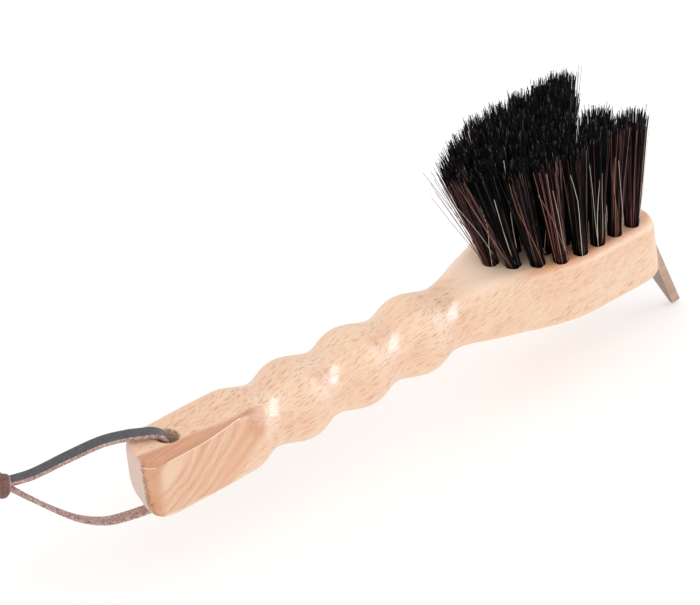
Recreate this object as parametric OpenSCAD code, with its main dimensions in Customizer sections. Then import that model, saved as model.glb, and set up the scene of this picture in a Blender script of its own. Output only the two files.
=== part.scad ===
// Wooden hoof-pick brush: a wavy-grip beech body with an arrow-shaped bristle head,
// a bent steel pick let into the nose and a leather hanging lace through the tail.
// +X runs from the tail to the nose, +Z is the side the bristles stand on.
// The origin is on the axis of the lace hole, at mid thickness of the wood.

/* [Wood body] */
// half the wood's thickness at the tail and at the head
wood_h = 9.3; // [7:0.1:12]
// X of the tail end, measured on the centre line at the top face
tail_x = -11.4; // [-20:0.1:-8]
// half width of the squared tail
tail_w = 8.9; // [7:0.1:12]
// edge radius of the squared tail
tail_r = 3.6; // [2:0.1:6]
// how far the tail end slants along X for each mm across it
tail_slant = 0.4; // [0:0.05:0.6]
// how far the tail end leans in for each mm down from the top
tail_rake = 0.13; // [0:0.01:0.4]
// plan radius of the tail end's near corner
tail_near_r = 4.5; // [1:0.5:6]
// plan radius of the tail end's far corner
tail_far_r = 4.5; // [1:0.5:8]
// height of the tail end's rounded lower edge
tail_low_r = 5; // [2:0.5:8]
// length of the tail end's rounded lower edge
tail_low_l = 10; // [4:0.5:14]
// radius of the tail end's upper edge
tail_top_r = 1.2; // [0.4:0.1:3]
// X where the squared tail starts to turn round
tail_end_x = 12; // [6:0.5:18]
// X of the nose face
nose_x = 162.2; // [140:0.1:180]
// plan radius of the nose corners
nose_corner_r = 7.4; // [3:0.1:12]
// radius of the nose face's upper and lower edges
nose_edge_r = 2.4; // [1:0.1:4]
// how far the nose face leans out for each mm down
nose_rake = 0.18; // [0:0.01:0.3]
// half width of the head
head_w = 16.4; // [12:0.1:22]
// edge radius of the head
head_r = 2.6; // [1:0.1:5]
// X where the head reaches its full width
head_full_x = 137; // [125:0.5:145]

/* [Grip waves] */
// X of the crest that starts the waves
wave_x = 22.1; // [18:0.1:28]
// crest-to-crest distance of the finger waves
wave_pitch = 21; // [16:0.1:26]
// number of half waves between the tail and the head
wave_halves = 7; // [5:2:9]
// half width at the first crest
crest_w = 10.9; // [9:0.1:13]
// half thickness at the first crest
crest_h = 10; // [8:0.1:12]
// edge radius at the first crest
crest_r = 8.5; // [4:0.1:9]
// half width at the first valley
valley_w = 8; // [6:0.1:10]
// half thickness at the first valley
valley_h = 8.7; // [6:0.1:10]
// edge radius at the first valley
valley_r = 7.2; // [4:0.1:8]
// how much narrower the last crest is than the first
wave_taper = 0.7; // [0:0.1:2]
// extra half width where the last valley runs out into the head
neck_swell = 0.9; // [0:0.1:2]

/* [Thumb flute] */
// distance of the flute's sharp edge from the centre plane
flute_y = 8.7; // [7:0.1:10]
// width of the flute across the top face
flute_w = 3.8; // [2:0.1:6]
// depth of the flute
flute_d = 0.7; // [0.2:0.1:1.5]
// how far the flute's sharp edge closes in towards its faded end
flute_in = 1.8; // [0:0.1:3]
// X where the flute has faded out
flute_end_x = 24; // [16:0.5:26]

/* [Bristle field] */
// diameter of the drilled tuft holes
tuft_d = 4; // [3:0.1:5]
// depth of the tuft holes, along their axes
tuft_hole_l = 8.2; // [6:0.1:10]
// radial room between a tuft and its hole
tuft_gap = 0.03; // [0.01:0.01:0.1]
// height of the trimmed bristle tips above the wood
bristle_l = 34; // [25:0.5:45]
// tuft radius at the bristle tips
tuft_tip_r = 2.6; // [2.2:0.1:3.5]
// X of the single tuft at the point of the arrow
field_x = 113.5; // [105:0.1:120]
// distance of the outer tufts from the centre plane in the full rows
field_w = 12.5; // [9:0.1:14]
// distance between the full rows
row_pitch = 6.3; // [5:0.1:8]
// lean of the first tuft, away from the nose
lean_back = 24; // [0:1:30]
// distance behind the first tuft at which the tufts stand upright
upright_l = 40.5; // [36:0.5:60]
// outward lean of the outermost tufts
lean_side = 1; // [0:0.5:8]

/* [Tuft anchors] */
// diameter of the staple wire
wire_d = 0.6; // [0.4:0.1:1]
// width of a staple over its legs
staple_w = 3; // [2:0.1:3.6]

/* [Pick] */
// thickness of the pick's steel
pick_t = 2.5; // [2:0.1:4]
// Z of the middle of the tang
pick_z = -2.8; // [-5:0.1:2]
// how far the tang runs into the nose
tang_l = 20; // [10:1:30]
// length of tang between the nose face and the bend
tang_out = 1.1; // [0.8:0.1:4]
// room between the tang and the walls of its slot
tang_gap = 0.05; // [0.02:0.01:0.1]
// inner radius of the bend
bend_r = 1.4; // [1:0.1:6]
// angle of the blade below the tang
bend_a = 60.5; // [45:0.1:90]
// width of the pick at its root
pick_w = 11.4; // [9:0.1:20]
// width of the pick at its tip
pick_tip_w = 1.4; // [1.4:0.1:8]
// length of the straight blade
blade_l = 34.8; // [20:0.1:45]
// corner radius of the tip
pick_tip_r = 0.6; // [0.3:0.1:0.7]

/* [Lace] */
// diameter of the lace hole
lace_hole_d = 6.2; // [5:0.1:8]
// width of the leather lace
lace_w = 3.4; // [2.5:0.1:5]
// thickness of the leather lace
lace_t = 1.3; // [1:0.05:2.5]
// swing of the loop at rest, towards +Y from straight back
lace_swing = 28; // [-60:1:60]
// distance of the knot from the lace hole
knot_x = 42.5; // [35:0.5:60]
// length of the knot along the lace
knot_l = 6.5; // [5:0.5:12]
// height of the knot
knot_h = 5.6; // [5:0.1:9]
// width of the knot
knot_w = 5.4; // [4:0.1:9]
// length of the loose ends past the knot
loose_l = 22; // [10:1:40]

/* [Hidden] */
big = 400;
hole_fn = 48;

// ---- wood outline -------------------------------------------------------
wave_end_x = wave_x + wave_halves * wave_pitch / 2;

function clamp(t) = min(1, max(0, t));
function smooth(t) = let (u = clamp(t)) u * u * (3 - 2 * u);
function mix(a, b, t) = a + (b - a) * t;
// inset of a quarter-round edge of radius r at distance d from the end
function round_in(d, r) = d >= r ? 0 : r - sqrt(max(0, r * r - (r - d) * (r - d)));

// 0 on a crest, 1 in a valley
function wave(x) = (1 - cos(360 * (x - wave_x) / wave_pitch)) / 2;
function along(x) = clamp((x - wave_x) / (wave_end_x - wave_x));
function to_wave(x) = smooth((x - tail_end_x) / (wave_x + 4 - tail_end_x));
function to_head(x) = smooth((x - wave_end_x) / (head_full_x - wave_end_x));
function swell(x) =
    x < wave_end_x || x > wave_end_x + wave_pitch
        ? 0 : neck_swell * pow(sin(180 * (x - wave_end_x) / wave_pitch), 2);

function grip(x, crest, valley) =
    x > wave_end_x ? valley : mix(crest, valley, x < wave_x ? 0 : wave(x));
function tapered(x, v, share) = v - wave_taper * share * along(x);

// half width, half thickness and edge radius of the wood before its ends are rounded
function body_w(x) =
    mix(mix(tail_w, tapered(x, grip(x, crest_w, valley_w), 1 - 0.7 * wave(x)), to_wave(x)),
        head_w, to_head(x)) + swell(x);
function body_h(x) =
    mix(mix(wood_h, tapered(x, grip(x, crest_h, valley_h), 0.3), to_wave(x)),
        wood_h, smooth((x - wave_end_x) / 16));
function body_r(x) =
    mix(mix(tail_r, tapered(x, grip(x, crest_r, valley_r), 0.3), to_wave(x)),
        head_r, smooth((x - wave_end_x) / 34));

// the stations of the loft, close together where the ends are rounded
end_steps = [0, 0.1, 0.35, 0.8, 1.5, 2.5, 3.7, 5, 6];
nose_steps = [0, 0.1, 0.35, 0.8, 1.5, 2.6, 4, 5.6, 7.4];
mid_from = tail_x + 8.5;
mid_to = nose_x - 9.6;
mid_n = 66;
stations = concat(
    [for (d = end_steps) tail_x + d],
    [for (i = [0:mid_n]) mid_from + (mid_to - mid_from) * i / mid_n],
    [for (i = [len(nose_steps) - 1:-1:0]) nose_x - nose_steps[i]]
);
corner_n = 8;

// one ring of the loft: four rounded corners, from the far upper one round to the near upper one
function corner(cy, cz, r, a0) =
    [for (k = [0:corner_n - 1]) let (a = a0 + 90 * k / (corner_n - 1)) [cy + r * cos(a), cz + r * sin(a)]];

// distance of the flute's sharp edge from the centre plane along the tail
function flute_edge(x) = flute_y - flute_in * smooth((x - 2) / 20);

// profile of the fluted near upper edge, from the top face out to the side face
function fluted(k, y0, z0, side_y) =
    let (n = corner_n - 1, t = k / n)
    t < 0.7
        ? let (u = t / 0.7) [-(y0 - flute_w * (1 - u)), z0 - flute_d * sin(180 * u)]
        : let (u = (t - 0.7) / 0.3) [-mix(y0, side_y, u), z0 - 6 * u];

function ring(x) =
    let (
        d = x - tail_x,
        e = nose_x - x,
        w = body_w(x) - round_in(e, nose_corner_r),
        h = body_h(x) - round_in(e, nose_edge_r),
        zt = h - round_in(d, tail_top_r),
        zb = -(h - round_in(d * tail_low_r / tail_low_l, tail_low_r)),
        yf = w - round_in(d, tail_far_r),
        yn = -(w - round_in(d, tail_near_r)),
        r = min(body_r(x), (zt - zb) / 2 - 0.05, (yf - yn) / 2 - 0.05),
        f = 1 - smooth((x - flute_end_x + 9) / 9),
        plain = corner(yn + r, zt - r, r, 90),
        flute = [for (k = [0:corner_n - 1]) fluted(k, flute_edge(x) - round_in(d, tail_near_r), zt, -yn)],
        near_up = [for (k = [0:corner_n - 1]) plain[k] * (1 - f) + flute[k] * f]
    )
    concat(
        corner(yf - r, zt - r, r, 0),
        near_up,
        corner(yn + r, zb + r, r, 180),
        corner(yf - r, zb + r, r, 270)
    );

// the tail end leans and slants; the shift fades out before the lace hole
function tail_shift(x, y, z) =
    (tail_slant * y + tail_rake * (wood_h - 1 - z)) * (1 - smooth((x - tail_x) / 14));

// the nose face leans out towards its lower edge
function nose_shift(x, z) = -nose_rake * z * smooth((x - nose_x + 9) / 9);

function loft_point(x, p) = [x + tail_shift(x, p[0], p[1]) + nose_shift(x, p[1]), p[0], p[1]];

module wood_blank() {
    n = 4 * corner_n;
    m = len(stations);
    pts = [for (x = stations) for (p = ring(x)) loft_point(x, p)];
    sides = [
        for (i = [0:m - 2]) for (j = [0:n - 1])
            let (a = i * n + j, b = i * n + (j + 1) % n, c = a + n, e = b + n)
            each [[a, c, b], [b, c, e]]
    ];
    ends = [
        [for (j = [0:n - 1]) j],
        [for (j = [n - 1:-1:0]) (m - 1) * n + j]
    ];
    polyhedron(points = pts, faces = concat(sides, ends), convexity = 8);
}

// ---- bristle field ------------------------------------------------------
// rows from the arrow's point to the nose: X, outer Y, step across and tufts in the row
rows = [
    [field_x, 0, 0, 1],
    [field_x + 3.3, field_w * 0.39, field_w * 0.78, 2],
    [field_x + 8.2, field_w * 0.7, field_w * 0.7, 3],
    [field_x + 13.7, field_w * 0.93, field_w * 0.465, 5],
    [field_x + 20, field_w, field_w / 2, 5],
    [field_x + 20 + row_pitch, field_w, field_w / 2, 5],
    [field_x + 20 + 2 * row_pitch, field_w, field_w / 2, 4],
    [field_x + 20 + 3 * row_pitch, field_w, field_w * 2, 2]
];

// tufts are counted from the near side; the two rows next to the nose leave a notch
function tuft_y(row, k) =
    let (r = rows[row - 1], n = r[3])
    n == 4 && k > 1 ? r[1] - r[2] * (3 - k) : -r[1] + r[2] * k;
function tuft_x(row) = rows[row - 1][0];
function lean_x(row) = -lean_back * pow(clamp((field_x + upright_l - tuft_x(row)) / upright_l), 1.6);
function lean_y(row, k) = lean_side * tuft_y(row, k) / field_w;

module at_tuft(row, k) {
    translate([tuft_x(row), tuft_y(row, k), wood_h])
        rotate([-lean_y(row, k), lean_x(row), 0])
            children();
}

module each_tuft() {
    for (row = [1:len(rows)])
        for (k = [0:rows[row - 1][3] - 1])
            at_tuft(row, k)
                children();
}

// a bundle of bristles: a round shank in its hole, then a flaring brush trimmed flat
module tuft(row, k) {
    shank_r = tuft_d / 2 - tuft_gap;
    mouth = 1.2;
    color([0.10, 0.08, 0.07])
        intersection() {
            at_tuft(row, k) {
                translate([0, 0, -tuft_hole_l + wire_d + 0.3])
                    cylinder(r = shank_r, h = tuft_hole_l - wire_d - 0.3 + mouth, $fn = hole_fn);
                translate([0, 0, mouth])
                    cylinder(r1 = shank_r, r2 = tuft_tip_r, h = bristle_l + 6, $fn = hole_fn);
            }
            translate([tuft_x(row) - 60, -60, -wood_h])
                cube([120, 120, 2 * wood_h + bristle_l]);
        }
}

// wire staples under the folded bundles, lying across the bottoms of the holes
module tuft_anchors() {
    color([0.72, 0.72, 0.70])
        each_tuft()
            translate([0, 0, -tuft_hole_l + wire_d / 2 + 0.05])
                rotate([0, 90, 0])
                    cylinder(d = wire_d, h = staple_w, center = true, $fn = 24);
}

// ---- pick ---------------------------------------------------------------
bend_mid_r = bend_r + pick_t / 2;
nose_at_tang = nose_x - nose_rake * pick_z;
pick_bend_x = nose_at_tang + tang_out;

module pick_strip() {
    // side view of the tang, the bend and the straight blade, drawn out to the pick's width
    rotate([90, 0, 0])
        linear_extrude(height = pick_w, center = true)
            translate([pick_bend_x, pick_z - bend_mid_r]) {
                translate([-tang_l - tang_out, bend_r])
                    square([tang_l + tang_out + 0.01, pick_t]);
                difference() {
                    intersection() {
                        circle(r = bend_r + pick_t, $fn = 96);
                        polygon([[0, 0], [0, 9], [9, 9], [9 * sin(bend_a), 9 * cos(bend_a)]]);
                    }
                    circle(r = bend_r, $fn = 96);
                }
                rotate(-bend_a)
                    translate([-0.01, bend_r])
                        square([blade_l, pick_t]);
            }
}

module pick_outline() {
    // front view of the pick: full width down to the bend, then a straight taper to the tip
    tip_z = pick_z - bend_mid_r - blade_l * sin(bend_a) + bend_mid_r * cos(bend_a);
    rotate([90, 0, 90])
        linear_extrude(height = big, center = true)
            union() {
                translate([-pick_w / 2, pick_z - pick_t / 2 - 1])
                    square([pick_w, pick_t + 4]);
                hull() {
                    translate([-pick_w / 2, pick_z - pick_t / 2 - 1])
                        square([pick_w, 1]);
                    for (s = [-1, 1])
                        translate([s * (pick_tip_w / 2 - pick_tip_r), tip_z + pick_tip_r])
                            circle(r = pick_tip_r, $fn = 32);
                }
            }
}

module pick() {
    color([0.52, 0.46, 0.41])
        intersection() {
            pick_strip();
            pick_outline();
        }
}

// ---- lace ---------------------------------------------------------------
// path of the loop in its own plane: distance from the hole, then height
lace_up = [
    [0, 0], [0, 5], [0.4, 8.4], [1.8, 10.1], [4, 10.9], [7, 11.1], [10.6, 11.2],
    [17, 10.5], [25.6, 7.6], [34.2, 4.3], [knot_x - 2.5, 3.3]
];
lace_down = [
    [0, 0], [0, -5], [0.4, -8.4], [1.9, -10.4], [4.2, -11.6], [10.6, -13], [16.2, -13.4],
    [22.2, -11.7], [27.8, -8.4], [34.2, -3.7], [knot_x - 2.5, 1]
];
knot_z = 2.4;

// Catmull-Rom curve through a list of points
function curve_at(p, i, t) =
    let (
        n = len(p),
        a = p[max(0, i - 1)],
        b = p[i],
        c = p[min(n - 1, i + 1)],
        d = p[min(n - 1, i + 2)]
    )
    0.5 * ((2 * b) + (c - a) * t + (2 * a - 5 * b + 4 * c - d) * t * t + (3 * b - a - 3 * c + d) * t * t * t);
function curve(p, steps) = concat(
    [for (i = [0:len(p) - 2]) for (s = [0:steps - 1]) curve_at(p, i, s / steps)],
    [p[len(p) - 1]]
);
function unit(v) = v / norm(v);
function heading(c, i) = unit(c[min(len(c) - 1, i + 1)] - c[max(0, i - 1)]);

// a flat strap swept along a plane curve, with its corners taken off
module strap(path, w, t) {
    e = t * 0.25;
    sec = [
        [t / 2 - e, w / 2], [-t / 2 + e, w / 2], [-t / 2, w / 2 - e], [-t / 2, -w / 2 + e],
        [-t / 2 + e, -w / 2], [t / 2 - e, -w / 2], [t / 2, -w / 2 + e], [t / 2, w / 2 - e]
    ];
    n = len(sec);
    m = len(path);
    pts = [
        for (i = [0:m - 1]) let (h = heading(path, i))
            for (s = sec) [path[i][0] - h[1] * s[0], s[1], path[i][1] + h[0] * s[0]]
    ];
    sides = [
        for (i = [0:m - 2]) for (j = [0:n - 1])
            let (a = i * n + j, b = i * n + (j + 1) % n, c = a + n, f = b + n)
            each [[a, b, c], [b, f, c]]
    ];
    ends = [
        [for (j = [n - 1:-1:0]) j],
        [for (j = [0:n - 1]) (m - 1) * n + j]
    ];
    polyhedron(points = pts, faces = concat(sides, ends), convexity = 6);
}

lace_steps = 3;
function reversed(p) = [for (i = [len(p) - 1:-1:1]) p[i]];
loop_path = curve(concat(reversed(lace_up), [[0, 0]], [for (i = [1:len(lace_down) - 1]) lace_down[i]]), lace_steps);

// a loose end, from inside the knot out past it
function loose_path(side) = curve([
    [knot_x, knot_z + side * 0.6],
    [knot_x + knot_l / 2, knot_z + side * 1.4],
    [knot_x + knot_l / 2 + loose_l * 0.5, knot_z + side * 4],
    [knot_x + knot_l / 2 + loose_l, knot_z + side * 5 - 3]
], lace_steps);

module lace() {
    color([0.27, 0.22, 0.21])
        rotate([0, 0, 180 - lace_swing]) {
            strap(loop_path, lace_w, lace_t);
            strap(loose_path(1), lace_w, lace_t);
            strap(loose_path(-1), lace_w, lace_t);
            translate([knot_x + 0.5, 0, knot_z])
                hull()
                    scale([knot_l / knot_h, knot_w / knot_h, 1])
                        sphere(d = knot_h, $fn = 28);
        }
}

// ---- wood body ----------------------------------------------------------
module wood_body() {
    color([0.86, 0.66, 0.46])
        difference() {
            wood_blank();
            // lace hole, square through the tail
            cylinder(d = lace_hole_d, h = 4 * wood_h, center = true, $fn = 64);
            // tuft holes
            each_tuft()
                translate([0, 0, -tuft_hole_l])
                    cylinder(d = tuft_d, h = tuft_hole_l + 3, $fn = hole_fn);
            // slot for the pick's tang, open at the nose
            translate([nose_at_tang - tang_l - 0.2, -pick_w / 2 - tang_gap, pick_z - pick_t / 2 - tang_gap])
                cube([tang_l + 10, pick_w + 2 * tang_gap, pick_t + 2 * tang_gap]);
        }
}

wood_body();
tuft(1, 0);  // tuft_r1a
tuft(2, 0);  // tuft_r2a
tuft(2, 1);  // tuft_r2b
tuft(3, 0);  // tuft_r3a
tuft(3, 1);  // tuft_r3b
tuft(3, 2);  // tuft_r3c
tuft(4, 0);  // tuft_r4a
tuft(4, 1);  // tuft_r4b
tuft(4, 2);  // tuft_r4c
tuft(4, 3);  // tuft_r4d
tuft(4, 4);  // tuft_r4e
tuft(5, 0);  // tuft_r5a
tuft(5, 1);  // tuft_r5b
tuft(5, 2);  // tuft_r5c
tuft(5, 3);  // tuft_r5d
tuft(5, 4);  // tuft_r5e
tuft(6, 0);  // tuft_r6a
tuft(6, 1);  // tuft_r6b
tuft(6, 2);  // tuft_r6c
tuft(6, 3);  // tuft_r6d
tuft(6, 4);  // tuft_r6e
tuft(7, 0);  // tuft_r7a
tuft(7, 1);  // tuft_r7b
tuft(7, 2);  // tuft_r7c
tuft(7, 3);  // tuft_r7d
tuft(8, 0);  // tuft_r8a
tuft(8, 1);  // tuft_r8b
tuft_anchors();
pick();
lace();
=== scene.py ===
"""Hoof-pick brush: a beech body, hair tufts, a bent steel pick and a leather lace.

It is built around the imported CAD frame, in the same place and size. X runs from the tail to the nose, the
bristles stand on the +Z side, and the near side, which the photo shows, is at -Y.
"""

import math

import bmesh
import bpy
import numpy as np
from mathutils import Matrix, Vector


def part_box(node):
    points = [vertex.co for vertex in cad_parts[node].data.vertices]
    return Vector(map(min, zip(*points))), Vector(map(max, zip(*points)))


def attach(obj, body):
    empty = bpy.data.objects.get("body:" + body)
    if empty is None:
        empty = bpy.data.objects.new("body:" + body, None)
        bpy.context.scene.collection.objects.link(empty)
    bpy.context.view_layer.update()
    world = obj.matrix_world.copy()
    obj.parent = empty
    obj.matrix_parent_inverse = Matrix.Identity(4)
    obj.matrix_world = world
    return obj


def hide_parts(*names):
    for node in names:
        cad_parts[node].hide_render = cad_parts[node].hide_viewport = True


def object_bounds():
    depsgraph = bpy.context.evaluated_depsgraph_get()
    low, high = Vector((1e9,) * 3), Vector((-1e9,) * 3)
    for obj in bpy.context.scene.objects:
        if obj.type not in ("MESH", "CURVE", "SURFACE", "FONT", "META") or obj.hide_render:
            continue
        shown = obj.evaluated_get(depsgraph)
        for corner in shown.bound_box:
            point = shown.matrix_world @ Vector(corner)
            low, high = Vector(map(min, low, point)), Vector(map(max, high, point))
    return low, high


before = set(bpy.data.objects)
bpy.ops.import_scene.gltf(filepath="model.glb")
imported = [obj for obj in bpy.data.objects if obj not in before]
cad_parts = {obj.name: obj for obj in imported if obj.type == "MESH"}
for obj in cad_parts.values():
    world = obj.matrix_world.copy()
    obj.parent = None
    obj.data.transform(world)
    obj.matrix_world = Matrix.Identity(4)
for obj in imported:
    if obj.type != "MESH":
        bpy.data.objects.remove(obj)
cad_low, cad_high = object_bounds()

MM = 0.001
rng = np.random.default_rng(7)

# ---- sizes, in millimetres and degrees, as in the CAD source; only the flute is drawn 1 mm wider ----
WOOD_H = 9.3
TAIL_X, TAIL_W, TAIL_R = -11.4, 8.9, 3.6
TAIL_SLANT, TAIL_RAKE = 0.4, 0.13
TAIL_NEAR_R, TAIL_FAR_R, TAIL_TOP_R = 4.5, 4.5, 1.2
TAIL_LOW_R, TAIL_LOW_L, TAIL_END_X = 5.0, 10.0, 12.0
NOSE_X, NOSE_CORNER_R, NOSE_EDGE_R, NOSE_RAKE = 162.2, 7.4, 2.4, 0.18
HEAD_W, HEAD_R, HEAD_FULL_X = 16.4, 2.6, 137.0
WAVE_X, WAVE_PITCH, WAVE_HALVES, WAVE_TAPER = 22.1, 21.0, 7, 0.7
CREST = (10.9, 10.0, 8.5)  # half width, half thickness and edge radius
VALLEY = (8.0, 8.7, 7.2)
NECK_SWELL = 0.9
FLUTE_Y, FLUTE_IN, FLUTE_W, FLUTE_D, FLUTE_END_X = 8.7, 1.8, 4.8, 0.7, 24.0
TUFT_D, TUFT_HOLE_L, BRISTLE_L = 4.0, 8.2, 34.0
FIELD_X, FIELD_W, ROW_PITCH = 113.5, 12.5, 6.3
LEAN_BACK, LEAN_SIDE, UPRIGHT_L, LEAN_POWER = 24.0, 1.0, 40.5, 1.6
LACE_HOLE_D, LACE_W, LACE_T, LACE_SWING = 6.2, 3.4, 1.3, 28.0
KNOT_X, KNOT_Z, LOOSE_L = 42.5, 2.4, 22.0
PICK_T, PICK_Z, TANG_GAP = 2.5, -2.8, 0.05
WAVE_END_X = WAVE_X + WAVE_HALVES * WAVE_PITCH / 2
TIP_Z = WOOD_H + BRISTLE_L

# rise of the grain against X, all along the wood and the extra in the head
GRAIN_SLOPE, HEAD_GRAIN_SLOPE, HEAD_START_X = 0.11, 0.10, 98.0


# ---- materials -------------------------------------------------------------
class Value:
    """One output of a node tree, so that node maths reads as plain arithmetic."""

    def __init__(self, nodes, socket):
        self.nodes = nodes
        self.socket = socket

    def __add__(self, other):
        return self.nodes.math("ADD", self, other)

    def __sub__(self, other):
        return self.nodes.math("SUBTRACT", self, other)

    def __rsub__(self, other):
        return self.nodes.math("SUBTRACT", other, self)

    def __mul__(self, other):
        return self.nodes.math("MULTIPLY", self, other)

    def __abs__(self):
        return self.nodes.math("ABSOLUTE", self)

    __radd__ = __add__
    __rmul__ = __mul__


class Nodes:
    """A short way to write a node tree: each call adds one node and returns its output."""

    def __init__(self, name):
        self.mat = bpy.data.materials.new(name)
        self.mat.use_nodes = True
        self.tree = self.mat.node_tree
        self.tree.nodes.clear()
        out = self.tree.nodes.new("ShaderNodeOutputMaterial")
        self.bsdf = self.tree.nodes.new("ShaderNodeBsdfPrincipled")
        self.tree.links.new(self.bsdf.outputs[0], out.inputs[0])

    def put(self, socket, value):
        """Links a value to an input, or sets the input to a number or a tuple."""
        if isinstance(value, Value):
            self.tree.links.new(value.socket, socket)
        elif not hasattr(socket.default_value, "__len__"):
            socket.default_value = value
        else:
            size = len(socket.default_value)
            parts = [value] * size if np.ndim(value) == 0 else list(value) + [1.0]
            socket.default_value = parts[:size]

    def node(self, kind, inputs=(), out=0, **settings):
        made = self.tree.nodes.new(kind)
        for key, value in settings.items():
            setattr(made, key, value)
        for key, value in dict(inputs).items():
            self.put(made.inputs[key], value)
        return Value(self, made.outputs[out])

    def math(self, op, a, b=0.0):
        return self.node("ShaderNodeMath", {0: a, 1: b}, operation=op)

    def vec(self, op, a, b=(0, 0, 0), out=0):
        return self.node("ShaderNodeVectorMath", {0: a, 1: b}, out, operation=op)

    def point(self):
        """Place in the row frame, in millimetres."""
        return self.vec("DIVIDE", self.node("ShaderNodeTexCoord", out="Object"), MM)

    def normal(self):
        return self.node("ShaderNodeTexCoord", out="Normal")

    def xyz(self, v):
        split = self.tree.nodes.new("ShaderNodeSeparateXYZ")
        self.put(split.inputs[0], v)
        return [Value(self, out) for out in split.outputs]

    def join(self, x, y, z):
        return self.node("ShaderNodeCombineXYZ", {0: x, 1: y, 2: z})

    def noise(self, v, density, detail=3.0, rough=0.5):
        """Noise with so many lumps to the millimetre, along all axes or along each."""
        co = self.vec("MULTIPLY", v, density)
        inputs = {"Vector": co, "Scale": 1.0, "Detail": detail, "Roughness": rough}
        return self.node("ShaderNodeTexNoise", inputs)

    def band(self, x, low, high):
        """0 below low, 1 above high, smooth between; reversed when low is above high."""
        rising = low <= high
        inputs = {
            "Value": x,
            "From Min": min(low, high),
            "From Max": max(low, high),
            "To Min": 0.0 if rising else 1.0,
            "To Max": 1.0 if rising else 0.0,
        }
        return self.node("ShaderNodeMapRange", inputs, interpolation_type="SMOOTHSTEP")

    def blend(self, a, b, share):
        """Colour a with some share of colour b. Inputs 6 and 7 of the node are its two colours."""
        return self.node("ShaderNodeMix", {0: share, 6: a, 7: b}, out=2, data_type="RGBA")

    def bump(self, height, strength, distance):
        inputs = {"Height": height, "Strength": strength, "Distance": distance}
        return self.node("ShaderNodeBump", inputs)

    def finish(self, **inputs):
        for key, value in inputs.items():
            self.put(self.bsdf.inputs[key.replace("_", " ")], value)
        return self.mat


PALE, FRESH, WARM = (0.880, 0.625, 0.440), (0.860, 0.550, 0.375), (0.760, 0.400, 0.230)
# the torn grain's dark brown also stands for painted shade in its crease
DEEP, TORN_AND_SHADE_DARK = (0.520, 0.220, 0.100), (0.280, 0.120, 0.055)
# the flute's brown is painted shade in the hollow, on the reddish tone of wood cut across the rings
RING_PALE, RING_BROWN, FLUTE_SHADE_BROWN = (0.820, 0.550, 0.375), (0.660, 0.300, 0.155), (0.620, 0.275, 0.140)
HOLE_DARK, HOLE_PALE = (0.420, 0.240, 0.150), (0.860, 0.640, 0.470)
# the orange beside the tufts is painted shade from the bristles; the pale neck colour is painted light
# against that shade
RIM_SHADE_ORANGE, NECK_LIGHT_PAINT, PATCH_BROWN = (0.780, 0.370, 0.180), (0.990, 0.740, 0.570), (0.640, 0.290, 0.140)
# the end grain's pale grey is partly a painted reflection
SORE, BRUISE, END_GRAIN_SHEEN = (0.620, 0.280, 0.145), (0.640, 0.280, 0.130), (0.660, 0.490, 0.410)


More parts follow.
